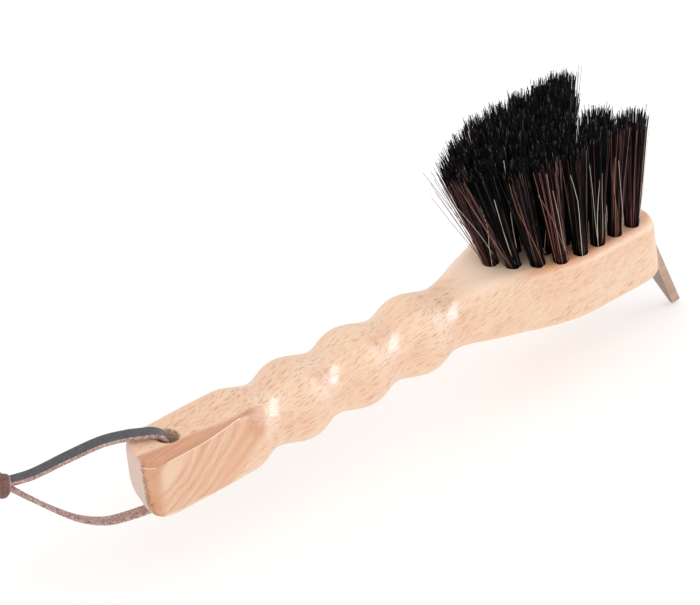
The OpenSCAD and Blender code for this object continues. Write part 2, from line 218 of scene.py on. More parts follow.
class Beech(Nodes):
    """Steamed beech. Masks go from 0 to 1, and their bands are in millimetres or parts of the normal."""

    def __init__(self):
        super().__init__("beech")
        self.place = self.point()
        self.x, self.y, self.z = self.xyz(self.place)
        self.nx, self.ny, self.nz = self.xyz(self.normal())
        # the grain runs a little across the handle, and more steeply through the head
        slope = self.x * GRAIN_SLOPE
        bend = self.math("MAXIMUM", self.x - HEAD_START_X, 0.0) * HEAD_GRAIN_SLOPE
        shift = (self.noise(self.place, (0.03, 0.07, 0.07), detail=2.0) - 0.5) * 5.0
        self.across = self.y - slope + shift
        self.up = self.z - slope + shift - bend
        self.grain = self.join(self.x, self.across, self.up)
        self.fibre = self.noise(self.grain, (0.30, 2.8, 2.8), rough=0.65)
        self.mottle = self.band(self.noise(self.grain, (0.7, 1.6, 1.6), rough=0.7), 0.36, 0.60)

    def within(self, x=None, y=None, nx=None, nz=None):
        """The product of the bands that are given."""
        mask = 1.0
        for value, limits in ((self.x, x), (self.y, y), (self.nx, nx), (self.nz, nz)):
            if limits:
                mask = self.band(value, *limits) * mask
        return mask

    def spot(self, x, y, radius):
        away = self.join(self.x - x, self.y - y, 0.0)
        return self.band(self.vec("LENGTH", away, out="Value"), radius, 0.0)

    def fleck_layer(self, size, reach, rare, seed):
        """Rays are ribbons: short along the grain, thin round the growth rings, long towards the pith."""
        rays = self.join(self.x, self.up + self.across, self.up - self.across)
        place = self.vec("ADD", self.vec("DIVIDE", rays, size), (seed, seed * 0.7, seed * 1.3))
        inputs = {"Vector": place, "Scale": 1.0}
        cell = self.node("ShaderNodeTexVoronoi", inputs, "Distance")
        chance = self.xyz(Value(self, cell.socket.node.outputs["Color"]))[0]
        return self.band(cell, reach, reach * 0.4) * self.band(chance, rare, rare + 0.2)

    def flecks(self):
        short = self.fleck_layer((3.6, 0.38, 8.0), reach=0.34, rare=0.05, seed=3.1)
        long = self.fleck_layer((5.6, 0.50, 12.0), reach=0.32, rare=0.35, seed=11.7)
        # seen flat on, a ray is only a faint flake
        flat_on = self.band(abs((self.ny + self.nz) * math.sqrt(0.5)), 0.80, 0.96)
        return self.math("MAXIMUM", short, long) * (1.0 - flat_on * 0.75)

    def rings(self, edge_y):
        """Oval growth rings on the near side of the tail: their shade, place and last dark bands."""
        pith_x, pith_z, squash, wobble = -9.0, 4.8, 0.40, 2.6
        tilt_cos, tilt_sin = 0.88, 0.47
        rx, rz = self.x - pith_x, self.z - pith_z
        u = rx * tilt_cos + rz * tilt_sin
        v = rz * tilt_cos - rx * tilt_sin
        oval = self.math("SQRT", (u * squash) * (u * squash) + v * v)
        oval = oval + (self.noise(self.place, 0.13) - 0.5) * wobble
        line = self.join(oval * 2.6, u * 0.16, self.y * 0.3)
        fine = self.band(self.noise(line, 1.0, rough=0.6), 0.40, 0.64)
        wide = self.band(self.math("SINE", oval * 2.1), -0.6, 1.0)
        shade = (fine * 0.42 + wide * 0.36 + 0.16) * self.band(oval, 1.4, 4.4)
        # they show below the flute's edge, on the rounded tail corner, and not on the underside
        past = self.x - self.z * 0.87
        top = edge_y + self.within(x=(15.5, 22.5)) * 1.4
        side = self.band(self.y - top, 0.10, -0.15) * self.band(past, 21.5, 17.5)
        corner = self.within(x=(-7.5, -9.0), y=(-4.5, -5.1), nz=(0.8, 0.5))
        side = self.math("MAXIMUM", side, corner) * self.within(nz=(-0.95, -0.6))
        last = side * self.band(past, 6.0, 14.0) * (0.45 + wide * 0.55)
        return shade, side, last

    def flute(self, edge_y):
        """Painted shade in the hollow, between its soft inner side and its sharp edge, on the reddish tone of
        wood cut across the rings, with a cloudy, darker core.
        """
        inner_y = -3.2 - self.x * GRAIN_SLOPE + self.within(x=(-4.0, -12.5)) * 0.5
        flute = self.band(inner_y - self.y, -0.7, 1.0) * self.band(self.y - edge_y, -0.5, 0.0)
        flute = flute * self.within(x=(26.5, 20.0), nz=(0.3, 0.6))
        cloudy = self.band(self.noise(self.grain, (0.09, 1.3, 0.6)), 0.40, 0.62)
        return flute, flute * cloudy * self.within(x=(22.0, -2.0))

    def tail_end(self):
        """Torn grain down the near corner, darkened also with painted shade for its crease; the sore and
        bruised wood beside it; and the smooth end beyond, its end grain greyed with a painted reflection.
        """
        ragged = self.y + 5.9 + (self.noise(self.place, 0.8) - 0.5) * 2.4 - (self.z - 3.0) * 0.10
        at_end = self.within(x=(-6.0, -8.5), nx=(-0.2, -0.4))
        torn_and_shade = self.band(abs(ragged), 1.6, 0.3) * at_end * self.band(self.noise(self.place, 1.1), 0.34, 0.50)
        bruise = self.band(abs(ragged + 1.0), 2.0, 0.4) * at_end * self.band(self.z, 2.5, -2.5)
        bruise = bruise * (0.4 + self.band(self.noise(self.place, 1.6), 0.35, 0.6) * 0.6)
        sore = self.band(ragged, 1.0, -0.4) * self.within(x=(-7.5, -12.0), nx=(0.1, -0.2))
        smooth = self.band(ragged, 0.2, 0.9) * at_end * self.within(nx=(-0.4, -0.9))
        return torn_and_shade, bruise, sore, smooth

    def lace_hole(self):
        from_axis = self.math("SQRT", self.x * self.x + self.y * self.y)
        return self.band(from_axis, 3.5, 3.15) * self.within(nz=(0.8, 0.4))

    def polish(self):
        """The varnish is smooth only where the hand has polished it, just before each valley."""
        beat = self.math("COSINE", (self.x - (WAVE_X + 8.4)) * (2 * math.pi / WAVE_PITCH))
        ends = self.within(x=(24.0, 27.0)) * self.within(x=(100.0, 97.0), nz=(0.2, 0.5))
        return self.band(beat, 0.35, 0.85) * ends

    def build(self):
        edge_y = self.within(x=(2.0, 22.0)) * FLUTE_IN - FLUTE_Y
        shade, side, last_rings = self.rings(edge_y)
        flute, flute_shade_core = self.flute(edge_y)
        torn_and_shade, bruise, sore, smooth_end_sheen = self.tail_end()
        # the flute's painted shade deepens where it runs out, mottled with the grain
        run_out_shade = self.spot(22.4, -7.9, 5.2) * self.within(nz=(0.0, 0.4))
        # painted shade on the head's near upper edge beside the tufts, a painted highlight along it, and
        # painted light on the neck against the shade of the bristles
        rim_shade = self.within(x=(100.0, 112.0), y=(-8.5, -12.0), nz=(0.55, 0.85))
        rim_shade = rim_shade * self.within(x=(166.0, 142.0))
        neck_light_paint = self.within(x=(94.0, 106.0), y=(-10.5, -6.5), nz=(0.5, 0.9))
        neck_light_paint = neck_light_paint * self.within(x=(124.0, 110.0))
        rim_highlight = self.within(x=(122.0, 134.0), y=(-8.0, -10.0), nz=(0.25, 0.42))
        rim_highlight = rim_highlight * self.within(nz=(0.75, 0.52))
        # a darker, mottled patch just past each of two crests
        crest_patch = self.math("MAXIMUM", self.spot(46.5, -6.4, 3.6), self.spot(66.8, -6.0, 3.8) * 0.8)
        crest_patch = crest_patch * self.within(nz=(0.1, 0.4))
        flecks = self.flecks() * (1.0 - side * 0.9) * (1.0 - flute * 0.75)
        tone = self.band(self.noise(self.grain, (0.012, 0.17, 0.17)), 0.34, 0.62)
        streak = self.band(self.noise(self.grain, (0.05, 0.9, 0.9), rough=0.6), 0.46, 0.70)
        layers = [
            (PALE, tone),
            (WARM, streak * 0.30),
            (WARM, self.band(self.fibre, 0.52, 0.34) * 0.34),
            (PALE, self.band(self.fibre, 0.52, 0.72) * 0.45),
            (DEEP, flecks * (1.0 - self.within(x=(96.0, 112.0)) * 0.25) * 0.80),
            (self.blend(RING_PALE, RING_BROWN, shade), side * 0.92),
            (WARM, last_rings * 0.75),
            # painted shade in the flute's hollow and at its run-out
            (FLUTE_SHADE_BROWN, flute * 0.84),
            (DEEP, flute_shade_core * 0.50),
            (DEEP, run_out_shade * (0.30 + self.mottle * 0.50)),
            (self.blend(HOLE_DARK, HOLE_PALE, self.mottle), self.lace_hole() * 0.9),
            # painted shade, painted light and a painted highlight round the head's rim and neck
            (RIM_SHADE_ORANGE, rim_shade * 0.90),
            (NECK_LIGHT_PAINT, neck_light_paint * 0.85),
            (PALE, rim_highlight * 0.8),
            (PATCH_BROWN, crest_patch * (0.25 + self.mottle * 0.55)),
            (SORE, sore * 0.75),
            (BRUISE, bruise * 0.75),
            # the end grain greyed with a painted reflection, the torn grain darkened with painted shade
            (END_GRAIN_SHEEN, smooth_end_sheen * 0.85),
            (TORN_AND_SHADE_DARK, torn_and_shade * 0.75),
        ]
        color = FRESH
        for layer, share in layers:
            color = self.blend(color, layer, share)
        height = self.fibre * 0.5 - (flecks * 0.4 + torn_and_shade)
        return self.finish(
            Base_Color=color,
            Roughness=0.42 + self.fibre * 0.2,
            Normal=self.bump(height, 0.4, 0.00012),
            Coat_Weight=0.6,
            Coat_Roughness=0.60 - self.polish() * 0.46,
            Specular_IOR_Level=0.4,
        )


def plain_material(name, color, rough, **more):
    return Nodes(name).finish(Base_Color=color, Roughness=rough, **more)


def steel_material(name, color, dark, tail_side_shade, scratches):
    """Dull steel: cloudy, scratched, and with painted shade on faces turned to the tail."""
    n = Nodes(name)
    scratch = n.noise(n.point(), scratches, detail=4.0, rough=0.65)
    cloud = n.noise(n.point(), 0.25)
    # faces turned to the tail get painted shade
    inner = n.band(n.xyz(n.normal())[0], -0.35, -0.70)
    col = n.blend(color, dark, n.band(cloud, 0.35, 0.7) * 0.6)
    col = n.blend(col, dark, n.band(scratch, 0.55, 0.75) * 0.35)
    col = n.blend(col, tail_side_shade, inner * 0.75)
    return n.finish(
        Base_Color=col,
        Metallic=0.55,
        Roughness=0.38 + scratch * 0.25,
        Normal=n.bump(scratch, 0.25, 0.00006),
    )


def leather_material(name, color, dark, light, rough, pore, relief):
    """Leather with dark and light pores of one size, in millimetres, and a broad paler cloud."""
    n = Nodes(name)
    grain = n.noise(n.point(), 1 / pore, rough=0.7)
    cloud = n.noise(n.point(), 0.35)
    col = n.blend(color, dark, n.band(grain, 0.52, 0.68))
    col = n.blend(col, light, n.band(grain, 0.48, 0.34))
    col = n.blend(col, light, n.band(cloud, 0.45, 0.75) * 0.35)
    return n.finish(
        Base_Color=col,
        Roughness=rough,
        Normal=n.bump(grain, relief, 0.00018),
        Sheen_Weight=0.1,
    )


beech = Beech().build()
# the pale edge material is a painted highlight, on the flute's sharp edge and round each tuft's mouth
beech_highlight = plain_material("beech_highlight", (0.95, 0.76, 0.61), 0.35)
# the grey hairs also stand for the sheen on black tips: painted sheen
BLACK, GREY_SHEEN, MAROON, ROSE, RUSSET, BLOND = range(6)
BRISTLE_MATERIALS = [
    plain_material("bristle_black", (0.0014, 0.0011, 0.0011), 0.5, Specular_IOR_Level=0.08),
    plain_material("bristle_grey_sheen", (0.045, 0.044, 0.046), 0.4),
    plain_material("bristle_maroon", (0.046, 0.010, 0.009), 0.42, Specular_IOR_Level=0.3),
    plain_material("bristle_rose", (0.190, 0.060, 0.055), 0.42),
    plain_material("bristle_russet", (0.400, 0.165, 0.105), 0.42),
    plain_material("bristle_blond", (0.80, 0.68, 0.54), 0.45),
]
pick_steel = steel_material(
    "pick_steel",
    color=(0.58, 0.385, 0.29),
    dark=(0.40, 0.265, 0.205),
    tail_side_shade=(0.27, 0.21, 0.195),
    scratches=(2.0, 2.0, 0.25),
)
staple_wire = steel_material(
    "staple_wire",
    color=(0.60, 0.60, 0.58),
    dark=(0.4, 0.4, 0.4),
    tail_side_shade=(0.5, 0.5, 0.5),
    scratches=1.0,
)
lace_grain = leather_material(
    "lace_grain",
    color=(0.070, 0.066, 0.072),
    dark=(0.052, 0.049, 0.053),
    light=(0.105, 0.103, 0.112),
    rough=0.42,
    pore=0.7,
    relief=0.3,
)
lace_flesh = leather_material(
    "lace_flesh",
    color=(0.400, 0.245, 0.215),
    dark=(0.110, 0.050, 0.045),
    light=(0.72, 0.56, 0.52),
    rough=0.9,
    pore=0.5,
    relief=0.9,
)
lace_worn = leather_material(
    "lace_worn",
    color=(0.170, 0.075, 0.062),
    dark=(0.080, 0.032, 0.028),
    light=(0.28, 0.15, 0.13),
    rough=0.8,
    pore=0.5,
    relief=0.7,
)


# ---- mesh helpers ----------------------------------------------------------
def make_mesh(name, verts, faces, materials, face_slots=None):
    """A smooth-shaded object from points in millimetres."""
    mesh = bpy.data.meshes.new(name)
    mesh.from_pydata([tuple(v) for v in np.asarray(verts, float) * MM], [], faces)
    for m in materials:
        mesh.materials.append(m)
    if face_slots is not None:
        mesh.polygons.foreach_set("material_index", np.asarray(face_slots, np.int32))
    mesh.polygons.foreach_set("use_smooth", [True] * len(mesh.polygons))
    mesh.update()
    ob = bpy.data.objects.new(name, mesh)
    bpy.context.scene.collection.objects.link(ob)
    return ob


def face_outward(ob):
    bm = bmesh.new()
    bm.from_mesh(ob.data)
    bmesh.ops.recalc_face_normals(bm, faces=bm.faces)
    bm.to_mesh(ob.data)
    bm.free()


def tube_faces(rings, n):
    """Faces of a closed tube whose rings have n points each."""
    faces = [
        (i * n + j, i * n + (j + 1) % n, (i + 1) * n + (j + 1) % n, (i + 1) * n + j)
        for i in range(rings - 1)
        for j in range(n)
    ]
    return faces + [tuple(range(n - 1, -1, -1)), tuple((rings - 1) * n + j for j in range(n))]


def smooth_step(t):
    t = np.clip(t, 0, 1)
    return t * t * (3 - 2 * t)


def mix(a, b, t):
    return a + (b - a) * t


# ---- wood body -------------------------------------------------------------
TURN_L, SLANT_L, NOSE_RAKE_L, RUN_OUT_L = 4, 14, 9, 9  # lengths over which a shape changes into the next
HEAD_THICK_L, HEAD_EDGE_L = 16, 34
PART_TAPER = 0.3  # share of the grip's taper that its valleys, thickness and edges take
PLAIN_POINTS, CORNER_POINTS = 14, 30  # points round a plain corner, and round the near upper one
EDGE_AT = 20  # the flute's sharp edge is this point of the near upper corner
EDGE_LIMITS, EDGE_REST, EDGE_REST_L = (-0.95, -0.3), 150, 12  # cosines and degrees round the plain corner
EDGE_FACET = 0.11  # a fine facet follows the sharp edge; it carries a painted highlight but for a gap
HIGHLIGHT_STOP, HIGHLIGHT_GAP_FROM, HIGHLIGHT_GAP_TO = 6, 2.6, 5.5
HOLLOW_SHARE, RISE_POWER, SIDE_DROP = 0.72, 1.6, 6.0


def round_in(d, r):
    """Inset of a quarter-round edge of radius r at distance d from the end."""
    return 0.0 if d >= r else r - math.sqrt(max(0.0, r * r - (r - d) ** 2))


def wave(x):
    return (1 - math.cos(2 * math.pi * (x - WAVE_X) / WAVE_PITCH)) / 2


def body_size(x, k, taper, head, reach):
    """Half width (k 0), half thickness (1) or edge radius (2) of the wood before its ends are rounded."""
    grip = VALLEY[k] if x > WAVE_END_X else mix(CREST[k], VALLEY[k], 0.0 if x < WAVE_X else wave(x))
    grip -= WAVE_TAPER * taper * min(1.0, max(0.0, (x - WAVE_X) / (WAVE_END_X - WAVE_X)))
    tail = (TAIL_W, WOOD_H, TAIL_R)[k]
    size = mix(tail, grip, smooth_step((x - TAIL_END_X) / (WAVE_X + TURN_L - TAIL_END_X)))
    return mix(size, head, smooth_step((x - WAVE_END_X) / reach))


def flute_edge(x):
    """Distance of the flute's sharp edge from the centre plane; it curves in from x 2 to x 22."""
    return FLUTE_Y - FLUTE_IN * float(smooth_step((x - 2) / 20))


def fluted(k, y0, z0, side_y):
    """Point k of the tail's near upper edge: a shallow hollow, a sharp edge, then the side face."""
    if k <= EDGE_AT:
        u = k / EDGE_AT
        rise = max(0.0, u - HOLLOW_SHARE) / (1 - HOLLOW_SHARE)
        hollow = smooth_step(u / HOLLOW_SHARE) - rise**RISE_POWER
        return -(y0 - FLUTE_W * (1 - u)), z0 - FLUTE_D * float(hollow)
    u = (k - EDGE_AT - 1) / (CORNER_POINTS - EDGE_AT - 2)
    return -mix(y0 + EDGE_FACET, side_y, u), z0 - EDGE_FACET - SIDE_DROP * u


def wood_ring(x):
    """Points round the wood at one X, from the far upper corner over the top and down the near side."""
    from_tail, from_nose = x - TAIL_X, NOSE_X - x
    half_w = body_size(x, 0, mix(1, PART_TAPER, wave(x)), HEAD_W, HEAD_FULL_X - WAVE_END_X)
    if WAVE_END_X < x < WAVE_END_X + WAVE_PITCH:
        half_w += NECK_SWELL * math.sin(math.pi * (x - WAVE_END_X) / WAVE_PITCH) ** 2
    half_w -= round_in(from_nose, NOSE_CORNER_R)
    half_h = body_size(x, 1, PART_TAPER, WOOD_H, HEAD_THICK_L) - round_in(from_nose, NOSE_EDGE_R)
    top = half_h - round_in(from_tail, TAIL_TOP_R)
    low = -(half_h - round_in(from_tail * TAIL_LOW_R / TAIL_LOW_L, TAIL_LOW_R))
    far = half_w - round_in(from_tail, TAIL_FAR_R)
    near = -(half_w - round_in(from_tail, TAIL_NEAR_R))
    r = body_size(x, 2, PART_TAPER, HEAD_R, HEAD_EDGE_L)
    r = min(r, (top - low) / 2 - 0.05, (far - near) / 2 - 0.05)

    def corner(cy, cz, start):
        a = np.radians(start) + np.linspace(0, math.pi / 2, PLAIN_POINTS)
        return np.stack([cy + r * np.cos(a), cz + r * np.sin(a)], 1)

    # the plain corner is divided where the flute's edge line meets it, so that the edge runs out straight
    meet = (-flute_edge(x) - near - r) / r
    at = math.degrees(math.acos(max(EDGE_LIMITS[0], min(EDGE_LIMITS[1], meet))))
    at = mix(at, EDGE_REST, float(smooth_step((x - FLUTE_END_X) / EDGE_REST_L)))
    above, below = np.linspace(90, at, EDGE_AT + 1), np.linspace(at, 180, CORNER_POINTS - EDGE_AT)
    a = np.radians(np.concatenate([above, below[1:]]))
    plain = np.stack([near + r + r * np.cos(a), top - r + r * np.sin(a)], 1)
    plain_share = float(smooth_step((x - FLUTE_END_X + RUN_OUT_L) / RUN_OUT_L))
    y0 = flute_edge(x) - round_in(from_tail, TAIL_NEAR_R)
    flute = np.array([fluted(k, y0, top, -near) for k in range(CORNER_POINTS)])
    ring = np.concatenate(
        [
            corner(far - r, top - r, 0),
            plain * plain_share + flute * (1 - plain_share),
            corner(near + r, low + r, 180),
            corner(far - r, low + r, 270),
        ]
    )
    tail = TAIL_SLANT * ring[:, 0] + TAIL_RAKE * (WOOD_H - 1 - ring[:, 1])
    tail *= 1 - smooth_step((x - TAIL_X) / SLANT_L)
    nose = -NOSE_RAKE * ring[:, 1] * smooth_step((x - NOSE_X + NOSE_RAKE_L) / NOSE_RAKE_L)
    return np.column_stack([x + tail + nose, ring])


def tuft_rows():
    """For each row from the arrow's point to the nose: X and the Y of its tufts, near side first."""
    w = FIELD_W
    rows = [
        (FIELD_X, [0.0]),
        (FIELD_X + 3.3, [-0.39 * w, 0.39 * w]),
        (FIELD_X + 8.2, [-0.7 * w, 0.0, 0.7 * w]),
        (FIELD_X + 13.7, [-0.93 * w, -0.465 * w, 0.0, 0.465 * w, 0.93 * w]),
    ]
    full = [-w, -w / 2, 0.0, w / 2, w]
    rows += [(FIELD_X + 20 + k * ROW_PITCH, full) for k in range(2)]
    rows.append((FIELD_X + 20 + 2 * ROW_PITCH, [-w, -w / 2, w / 2, w]))
    rows.append((FIELD_X + 20 + 3 * ROW_PITCH, [-w, w]))
    return rows


def tuft_frame(x, y):
    """Rotation of a tuft and its mouth on the wood's top face."""
    back = -LEAN_BACK * max(0.0, (FIELD_X + UPRIGHT_L - x) / UPRIGHT_L) ** LEAN_POWER
    side = LEAN_SIDE * y / FIELD_W
    turn = Matrix.Rotation(math.radians(back), 3, "Y") @ Matrix.Rotation(math.radians(-side), 3, "X")
    return np.array(turn), np.array([x, y, WOOD_H])


def lathe(profile, sides, turn, centre):
    """A closed turned solid from (height, radius) pairs along the local Z axis."""
    a = np.linspace(0, 2 * math.pi, sides, endpoint=False)
    pts = [np.stack([r * np.cos(a), r * np.sin(a), np.full(sides, h)], 1) for h, r in profile]
    return np.concatenate(pts) @ turn.T + centre, tube_faces(len(profile), sides)


SHARP_WOOD, SHARP_LACE = 34, 50  # degrees above which an edge is drawn sharp
RIM_EASE, RIM_STEPS, PAST = 0.5, 7, 3.0  # the lace hole's eased rims, and how far cutters stand out
MOUTH_W, MOUTH_D, MOUTH_FLARE = 0.28, 0.04, 0.02  # the pale rim round each tuft: a painted highlight on its eased mouth
LACE_SIDES, TUFT_SIDES = 64, 40


def wood_cutter():
    """Every hole of the wood as one mesh: the lace hole, the tuft holes and the tang's slot."""
    verts, faces, face_slots = [], [], []

    def add(v, f, slots=None):
        base = sum(len(part) for part in verts)
        verts.append(v)
        faces.extend([tuple(i + base for i in face) for face in f])
        face_slots.extend(slots or [0] * len(f))

    r = LACE_HOLE_D / 2 + RIM_EASE
    rim = [
        (WOOD_H - RIM_EASE + RIM_EASE * math.sin(a), r - RIM_EASE * math.cos(a))
        for a in np.linspace(0, math.pi / 2, RIM_STEPS)
    ]
    rim.append((WOOD_H + PAST, r + 0.01))
    profile = [(-h, q) for h, q in reversed(rim)] + rim
    add(*lathe(profile, LACE_SIDES, np.eye(3), np.zeros(3)))
    r = TUFT_D / 2
    hole = [(-TUFT_HOLE_L, r), (-MOUTH_D, r), (-MOUTH_D, r + MOUTH_W), (PAST, r + MOUTH_W + MOUTH_FLARE)]
    # slot 1 is the painted highlight, on the eased mouth
    hole_slots = [0] * TUFT_SIDES + [1] * TUFT_SIDES + [0] * (TUFT_SIDES + 2)
    for x, ys in tuft_rows():
        for y in ys:
            turn, mouth = tuft_frame(x, y)
            add(*lathe(hole, TUFT_SIDES, turn, mouth), slots=hole_slots)
    pick_lo, pick_hi = (np.array(c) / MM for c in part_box("pick"))
    slot_w = pick_hi[1] - pick_lo[1] + 2 * TANG_GAP
    slot_h = PICK_T + 2 * TANG_GAP
    box = [
        (px, py, PICK_Z + pz)
        for px in (pick_lo[0] - 0.2, NOSE_X + 8)
        for py in (-slot_w / 2, slot_w / 2)
        for pz in (-slot_h / 2, slot_h / 2)
    ]
    box_faces = [(0, 1, 3, 2), (4, 6, 7, 5), (0, 4, 5, 1), (2, 3, 7, 6), (0, 2, 6, 4), (1, 5, 7, 3)]
    add(np.array(box), box_faces)
    ob = make_mesh("wood_cutter", np.concatenate(verts), faces, [beech, beech_highlight], face_slots)
    face_outward(ob)
    return ob


def build_wood():
    """The body: rings close together at the rounded ends, evenly spaced between them."""
    ends = np.array([0, 0.04, 0.12, 0.25, 0.45, 0.7, 1.0, 1.35, 1.8, 2.3, 2.9, 3.6, 4.4])
    middle = np.arange(TAIL_X + 5.0, NOSE_X - 4.9, 0.7)
    xs = np.concatenate([TAIL_X + ends, middle, (NOSE_X - ends)[::-1]])
    rings = [wood_ring(x) for x in xs]
    n = len(rings[0])
    faces = tube_faces(len(xs), n)
    slots = [0] * len(faces)
    for i, x in enumerate(xs[:-1]):
        # the facet carries the painted highlight up to the flute's run-out, except for a gap on the corner
        # behind the tail end
        if x < FLUTE_END_X - HIGHLIGHT_STOP and not TAIL_X + HIGHLIGHT_GAP_FROM < x < TAIL_X + HIGHLIGHT_GAP_TO:
            slots[i * n + PLAIN_POINTS + EDGE_AT] = 1
    ob = make_mesh("wood_body_look", np.concatenate(rings), faces, [beech, beech_highlight], slots)
    face_outward(ob)
    cutter = wood_cutter()
    cut = ob.modifiers.new("holes", "BOOLEAN")
    cut.operation = "DIFFERENCE"
    cut.solver = "EXACT"
    cut.object = cutter
    mesh = bpy.data.meshes.new_from_object(ob.evaluated_get(bpy.context.evaluated_depsgraph_get()))
    ob.modifiers.clear()
    ob.data = mesh
    bpy.data.objects.remove(cutter)
    mesh.polygons.foreach_set("use_smooth", [True] * len(mesh.polygons))
    mesh.set_sharp_from_angle(angle=math.radians(SHARP_WOOD))
    return ob


# ---- bristles --------------------------------------------------------------
BRISTLES_PER_TUFT = 300
BRISTLE_R, BRISTLE_TIP_R = 0.125, 0.08
BRISTLE_STEPS = 6
# share of red-brown bristles in the near tuft of each row, from the arrow's point to the nose
NEAR_BROWN = (0.30, 0.01, 0.14, 0.30, 0.18, 0.04, 0.30, 0.26)
FAR_BROWN, INNER_BROWN = 0.2, 0.02
# how far the tips spread along the row frame's X, and how far the whole tuft drifts, for rows that differ
SPREAD, SPREAD_X = 4.3, {1: 3.5, 8: 4.0}
DRIFT_X = {1: 0.9, 2: 0.4, 7: 0.3, 8: -1.1}
SPREAD_OUTER_Y, SPREAD_INNER_Y = 3.3, 4.2
ROOT_R, ROOT_DEPTH = TUFT_D / 2 - 0.17, 1.5
LOOSE_R, LOOSE_DEPTH = TUFT_D / 2 - 0.25, 1.0
# the trimmed tips: how far they end below the top on average, how unevenly, and how many stand proud
TRIM_D, TRIM_ROUGH, PROUD_SHARE, PROUD_L = 0.35, 0.45, 0.06, 1.6
BLACK_SHARE, BROWN_MIX = 0.93, (0.60, 0.30, 0.10)
LOOSE_SIZE, END_SIZE = 0.8, 0.75  # thickness of a loose hair against a packed one


def hair(points, r0, r1):
    """A thin three-sided hair along a smooth curve through a few points."""
    line = curve_through(points, max(1, round((BRISTLE_STEPS - 1) / (len(points) - 1))))
    along = line[-1] - line[0]
    side = np.cross(along, [0.3, 1.0, 0.1])
    side /= np.linalg.norm(side)
    other = np.cross(along, side)
    other /= np.linalg.norm(other)
    spin = rng.uniform(0, 2 * math.pi)
    verts = []
    for k, c in enumerate(line):
        r = r0 + (r1 - r0) * k / (len(line) - 1)
        for a in spin + np.array([0, 2, 4]) * math.pi / 3:
            verts.append(c + r * (math.cos(a) * side + math.sin(a) * other))
    return verts, tube_faces(len(line), 3)


def packed_hairs(row, letter, turn, mouth, axis, outer, face):
    """The body of the tuft: bristles side by side in the hole that spread towards their tips."""
    spread = np.array([SPREAD_X.get(row, SPREAD), SPREAD_OUTER_Y if outer else SPREAD_INNER_Y, 1.0])
    drift = np.array([DRIFT_X.get(row, 0.0), 0.0, 0.0])
    brown = NEAR_BROWN[row - 1] if letter == "a" else FAR_BROWN if outer else INNER_BROWN
    for _ in range(BRISTLES_PER_TUFT):
        out, a = math.sqrt(rng.uniform(0, 1)), rng.uniform(0, 2 * math.pi)
        flat = np.array([out * math.cos(a), out * math.sin(a), 0.0])
        root = mouth + turn @ (flat * ROOT_R - [0, 0, ROOT_DEPTH])
        height = TIP_Z - TRIM_D + rng.normal(0, TRIM_ROUGH)
        height += rng.uniform(0, PROUD_L) if rng.uniform() < PROUD_SHARE else 0
        tip = mouth + axis * (height - WOOD_H) / axis[2] + turn @ (flat * spread) + drift
        tip[:2] += rng.normal(0, 0.5, 2)
        middle = root + (tip - root) * 0.5 - turn @ (flat * 0.3) + rng.normal(0, 0.16, 3)
        # a few grey hairs give the black tips a painted sheen
        kind = BLACK if rng.uniform() < BLACK_SHARE else GREY_SHEEN
        # the brown ones lie on the outside of the field
        if rng.uniform() < brown * (1.7 if flat[1] * face > 0.1 else 0.15):
            kind = rng.choice([MAROON, ROSE, RUSSET], p=BROWN_MIX)
            tip += (root - tip) * rng.uniform(0.0, 0.09)
        yield [root, middle, tip], kind, 1.0


def wiry_hairs(row, turn, mouth, axis, outer, face):
    """A few hairs that have come loose and stand away from the tuft, with a kink."""
    for _ in range(rng.choice([1, 2, 3]) if outer or row < 3 else rng.choice([0, 1])):
        away = np.array([rng.uniform(-0.9, 0.9), face * rng.uniform(0.75, 1.0), 0.0])
        root = mouth + turn @ (away * LOOSE_R - [0, 0, LOOSE_DEPTH])
        reach = (BRISTLE_L - rng.uniform(-1.0, 12.0)) / axis[2]
        lean = np.array([rng.normal(0, 4.5), face * rng.uniform(2.4, 3.9), 0.0])
        tip = mouth + axis * reach + turn @ lean
        third = (tip - root) / 3
        bow = rng.normal(0, 0.3, 3)
        kink = rng.normal(0, 0.4, 3)
        kind = rng.choice([BLOND, BLOND, BLOND, RUSSET])
        yield [root, root + third + bow, root + 2 * third + bow + kink, tip], kind, LOOSE_SIZE


def end_hairs(row, turn, mouth, axis):
    """Thin hairs that lean out at the two ends of the field."""
    count, lean = (7, -1.1) if row < 3 else (4, 0.8)
    for _ in range(count):
        away = np.array([lean * rng.uniform(0.5, 1.0), rng.uniform(-0.8, 0.8), 0.0])
        root = mouth + turn @ (away * LOOSE_R - [0, 0, LOOSE_DEPTH])
        tip = mouth + axis * (BRISTLE_L + rng.uniform(-2, 2.0)) / axis[2]
        tip += turn @ np.array([lean * rng.uniform(3.5, 8.0), rng.normal(0, 1.6), 0.0])
        kind = rng.choice([BLACK, GREY_SHEEN, ROSE, RUSSET])
        yield [root, (root + tip) / 2 + rng.normal(0, 0.25, 3), tip], kind, END_SIZE


def tuft_hairs(row, letter, x, y):
    """Points from root to tip of every hair of a tuft, with its colour and relative thickness."""
    turn, mouth = tuft_frame(x, y)
    axis = turn @ np.array([0, 0, 1.0])
    outer = abs(y) > 0.85 * abs(tuft_rows()[row - 1][1][0])
    face = math.copysign(1.0, y) if abs(y) > 1 else -1.0
    yield from packed_hairs(row, letter, turn, mouth, axis, outer, face)
    yield from wiry_hairs(row, turn, mouth, axis, outer, face)
    if row < 3 or (row == 8 and y > 0):
        yield from end_hairs(row, turn, mouth, axis)


def build_tuft(name, row, letter, x, y):
    """All hairs of one tuft as one mesh, with one material slot to a colour."""
    verts, faces, slots = [], [], []
    for points, kind, size in tuft_hairs(row, letter, x, y):
        new_verts, new_faces = hair(points, BRISTLE_R * size, BRISTLE_TIP_R * size)
        base = len(verts)
        verts += new_verts
        faces += [tuple(i + base for i in f) for f in new_faces]
        slots += [kind] * len(new_faces)
    return make_mesh(name + "_look", verts, faces, BRISTLE_MATERIALS, slots)


